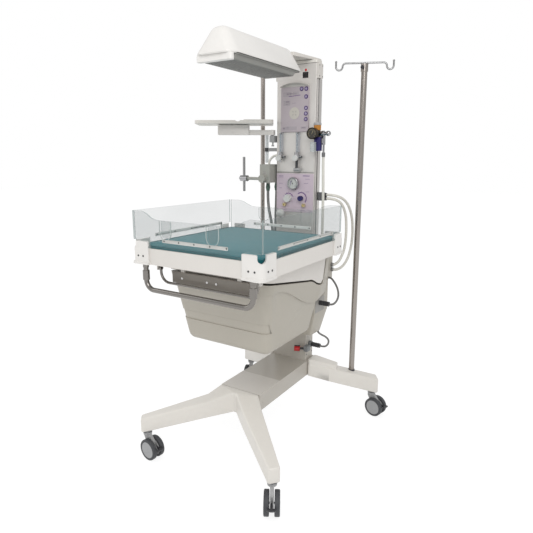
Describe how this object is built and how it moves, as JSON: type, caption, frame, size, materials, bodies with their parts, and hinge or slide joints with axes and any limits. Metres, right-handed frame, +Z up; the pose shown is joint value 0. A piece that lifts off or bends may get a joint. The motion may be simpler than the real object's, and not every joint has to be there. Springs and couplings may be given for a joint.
{
  "type": "infant warmer",
  "caption": "Open infant warmer: radiant heater on a service tower, tilting bed with clear fold-down panels, wheeled base, shelf, gas controls and drip pole.",
  "frame": {"origin": "floor level below the middle of the whole warmer, on the tower's centre plane", "axes": "+Z up, +Y from the foot of the bed towards the tower, +X to the right as seen from the foot of the bed"},
  "size_m": [1.0209, 1.1078, 1.9098],
  "materials": {
    "grey_cream_paint": "satin",
    "cream_paint": "satin",
    "cream_plastic": "satin",
    "beige_plastic": "fine grain",
    "white_plastic": "satin",
    "anodised_aluminium": "satin anodised",
    "lilac_plastic": "satin",
    "purple_plastic": "satin",
    "navy_plastic": "gloss",
    "orange_plastic": "gloss",
    "grey_plastic": "satin",
    "dark_plastic": "satin",
    "dark_rubber": "matte",
    "white_rubber": "satin",
    "tyre_grey": "matte",
    "dark_steel": "satin",
    "tube_steel": "brushed",
    "polished_steel": "polished",
    "grille_steel": "satin",
    "teal_cover": "coated cloth",
    "clear_plastic": "clear"
  },
  "bodies": {
    "base": {"base_beam": "grey_cream_paint", "front_legs": "cream_paint", "rear_legs": "cream_paint", "pedestal": "grey_cream_paint", "fittings": "dark_plastic", "leads_and_hoses": "dark_rubber", "tub_shell": "beige_plastic", "rear_housing": "beige_plastic", "tilt_bracket": "dark_steel", "tower_shell": "anodised_aluminium", "tower_cap": "cream_plastic", "side_rails": "dark_steel", "controller_module": "lilac_plastic", "flowmeters": "lilac_plastic", "resus_panel": "lilac_plastic", "pressure_gauge": "grey_plastic", "poles": "tube_steel", "holder_box": "grey_plastic", "gas_regulator": "polished_steel", "gas_hoses": "white_rubber"},
    "bed": {"bed_frame": "cream_paint", "corner_caps": "white_plastic", "mattress": "teal_cover", "front_handle": "tube_steel"},
    "heater": {"head_arm": "cream_paint", "hood_shell": "white_plastic", "heater_grille": "grille_steel", "heater_element": "polished_steel"},
    "front_panel": {"panel_front": "clear_plastic"},
    "left_panel": {"panel_left": "clear_plastic"},
    "right_panel": {"panel_right": "clear_plastic"},
    "rear_panel": {"panel_rear": "clear_plastic"},
    "release_bar": {"tilt_release_bar": "tube_steel"},
    "hook_rod": {"iv_hook_rod": "polished_steel"},
    "arm": {"shelf_arm": "anodised_aluminium"},
    "tray": {"shelf_tray": "cream_plastic"},
    "rod": {"holder_rod": "polished_steel"},
    "left_flow_knob": {"flow_knob_left": "white_plastic"},
    "right_flow_knob": {"flow_knob_right": "white_plastic"},
    "pressure_control": {"pressure_knob": "white_plastic"},
    "mixing_control": {"mixing_knob": "navy_plastic"},
    "regulator_control": {"regulator_knob": "orange_plastic"},
    "caster_fl": {"caster_fork_fl": "grey_plastic"},
    "wheels_fl": {"caster_wheels_fl": "tyre_grey"},
    "pedal_fl": {"brake_pedal_fl": "dark_plastic"},
    "caster_fr": {"caster_fork_fr": "grey_plastic"},
    "wheels_fr": {"caster_wheels_fr": "tyre_grey"},
    "pedal_fr": {"brake_pedal_fr": "dark_plastic"},
    "caster_rl": {"caster_fork_rl": "grey_plastic"},
    "wheels_rl": {"caster_wheels_rl": "tyre_grey"},
    "pedal_rl": {"brake_pedal_rl": "dark_plastic"},
    "caster_rr": {"caster_fork_rr": "grey_plastic"},
    "wheels_rr": {"caster_wheels_rr": "tyre_grey"},
    "pedal_rr": {"brake_pedal_rr": "dark_plastic"},
    "control_key_1": {"key_1": "purple_plastic"},
    "control_key_2": {"key_2": "purple_plastic"},
    "control_key_3": {"key_3": "purple_plastic"},
    "control_key_4": {"key_4": "purple_plastic"},
    "control_key_5": {"key_5": "purple_plastic"},
    "control_key_6": {"key_6": "purple_plastic"}
  },
  "joints": [
    {"name": "swivel_fl", "type": "hinge", "parent": "base", "child": "caster_fl", "pos_m": [-0.35, -0.46, 0.136], "axis": [0, 0, 1], "continuous": true},
    {"name": "roll_fl", "type": "hinge", "parent": "caster_fl", "child": "wheels_fl", "pos_m": [-0.32016, -0.46314, 0.051], "axis": [0.1045, 0.9945, 0], "continuous": true},
    {"name": "brake_fl", "type": "hinge", "parent": "caster_fl", "child": "pedal_fl", "pos_m": [-0.29232, -0.46606, 0.064], "axis": [0.1045, 0.9945, 0], "range_deg": [0, 10]},
    {"name": "swivel_fr", "type": "hinge", "parent": "base", "child": "caster_fr", "pos_m": [0.35, -0.46, 0.136], "axis": [0, 0, 1], "continuous": true},
    {"name": "roll_fr", "type": "hinge", "parent": "caster_fr", "child": "wheels_fr", "pos_m": [0.365, -0.48598, 0.051], "axis": [0.866, 0.5, 0], "continuous": true},
    {"name": "brake_fr", "type": "hinge", "parent": "caster_fr", "child": "pedal_fr", "pos_m": [0.379, -0.51023, 0.064], "axis": [0.866, 0.5, 0], "range_deg": [0, 10]},
    {"name": "swivel_rl", "type": "hinge", "parent": "base", "child": "caster_rl", "pos_m": [-0.407, 0.513, 0.136], "axis": [0, 0, 1], "continuous": true},
    {"name": "roll_rl", "type": "hinge", "parent": "caster_rl", "child": "wheels_rl", "pos_m": [-0.39674, 0.48481, 0.051], "axis": [0.9397, 0.342, 0], "continuous": true},
    {"name": "brake_rl", "type": "hinge", "parent": "caster_rl", "child": "pedal_rl", "pos_m": [-0.38716, 0.4585, 0.064], "axis": [0.9397, 0.342, 0], "range_deg": [0, 10]},
    {"name": "swivel_rr", "type": "hinge", "parent": "base", "child": "caster_rr", "pos_m": [0.407, 0.513, 0.136], "axis": [0, 0, 1], "continuous": true},
    {"name": "roll_rr", "type": "hinge", "parent": "caster_rr", "child": "wheels_rr", "pos_m": [0.43634, 0.50676, 0.051], "axis": [0.2079, 0.9781, 0], "continuous": true},
    {"name": "brake_rr", "type": "hinge", "parent": "caster_rr", "child": "pedal_rr", "pos_m": [0.46373, 0.50094, 0.064], "axis": [0.2079, 0.9781, 0], "range_deg": [0, 10]},
    {"name": "press_key_1", "type": "slide", "parent": "base", "child": "control_key_1", "axis": [0, 1, 0], "range_m": [0, 0.0012], "stiffness_N_per_m": 800},
    {"name": "press_key_2", "type": "slide", "parent": "base", "child": "control_key_2", "axis": [0, 1, 0], "range_m": [0, 0.0012], "stiffness_N_per_m": 800},
    {"name": "press_key_3", "type": "slide", "parent": "base", "child": "control_key_3", "axis": [0, 1, 0], "range_m": [0, 0.0012], "stiffness_N_per_m": 800},
    {"name": "press_key_4", "type": "slide", "parent": "base", "child": "control_key_4", "axis": [0, 1, 0], "range_m": [0, 0.0012], "stiffness_N_per_m": 800},
    {"name": "press_key_5", "type": "slide", "parent": "base", "child": "control_key_5", "axis": [0, 1, 0], "range_m": [0, 0.0012], "stiffness_N_per_m": 800},
    {"name": "press_key_6", "type": "slide", "parent": "base", "child": "control_key_6", "axis": [0, 1, 0], "range_m": [0, 0.0012], "stiffness_N_per_m": 800},
    {"name": "bed_tilt", "type": "hinge", "parent": "base", "child": "bed", "pos_m": [0, 0.125, 0.916], "axis": [-1, 0, 0], "range_deg": [0, 8]},
    {"name": "release_bar_pull", "type": "hinge", "parent": "bed", "child": "release_bar", "pos_m": [0, -0.42, 0.931], "axis": [-1, 0, 0], "range_deg": [0, 8], "stiffness_Nm_per_rad": 4},
    {"name": "front_panel_fold", "type": "hinge", "parent": "bed", "child": "front_panel", "pos_m": [0, -0.502, 1.037], "axis": [1, 0, 0], "range_deg": [0, 165]},
    {"name": "right_panel_fold", "type": "hinge", "parent": "bed", "child": "right_panel", "pos_m": [0.328, 0, 1.037], "axis": [0, 1, 0], "range_deg": [0, 165]},
    {"name": "left_panel_fold", "type": "hinge", "parent": "bed", "child": "left_panel", "pos_m": [-0.328, 0, 1.037], "axis": [0, -1, 0], "range_deg": [0, 165]},
    {"name": "rear_panel_lift", "type": "slide", "parent": "bed", "child": "rear_panel", "axis": [0, 0, 1], "range_m": [0, 0.04]},
    {"name": "heater_swing", "type": "hinge", "parent": "base", "child": "heater", "pos_m": [0, 0.372, 1.875], "axis": [0, 0, 1], "range_deg": [-45, 45]},
    {"name": "hook_rod_raise", "type": "slide", "parent": "base", "child": "hook_rod", "axis": [0, 0, 1], "range_m": [0, 0.5]},
    {"name": "shelf_swing", "type": "hinge", "parent": "base", "child": "arm", "pos_m": [-0.136, 0.314, 1.523], "axis": [0, 0, 1], "range_deg": [-28, 26]},
    {"name": "tray_turn", "type": "hinge", "parent": "arm", "child": "tray", "pos_m": [-0.30137, 0.21067, 1.575], "axis": [0, 0, 1], "range_deg": [-12, 12]},
    {"name": "holder_rod_slide", "type": "slide", "parent": "base", "child": "rod", "axis": [0, 0, 1], "range_m": [-0.04, 0.05]},
    {"name": "left_flow_turn", "type": "hinge", "parent": "base", "child": "left_flow_knob", "pos_m": [-0.079, 0.283, 1.405], "axis": [0, -1, 0], "range_deg": [0, 270]},
    {"name": "right_flow_turn", "type": "hinge", "parent": "base", "child": "right_flow_knob", "pos_m": [0.019, 0.283, 1.405], "axis": [0, -1, 0], "range_deg": [0, 270]},
    {"name": "pressure_turn", "type": "hinge", "parent": "base", "child": "pressure_control", "pos_m": [-0.034, 0.305, 1.199], "axis": [0, -1, 0], "range_deg": [0, 270]},
    {"name": "mixing_turn", "type": "hinge", "parent": "base", "child": "mixing_control", "pos_m": [0.042, 0.305, 1.201], "axis": [0, -1, 0], "range_deg": [-135, 135]},
    {"name": "regulator_turn", "type": "hinge", "parent": "base", "child": "regulator_control", "pos_m": [0.13, 0.308, 1.541], "axis": [0, 0, 1], "range_deg": [0, 300]}
  ]
}
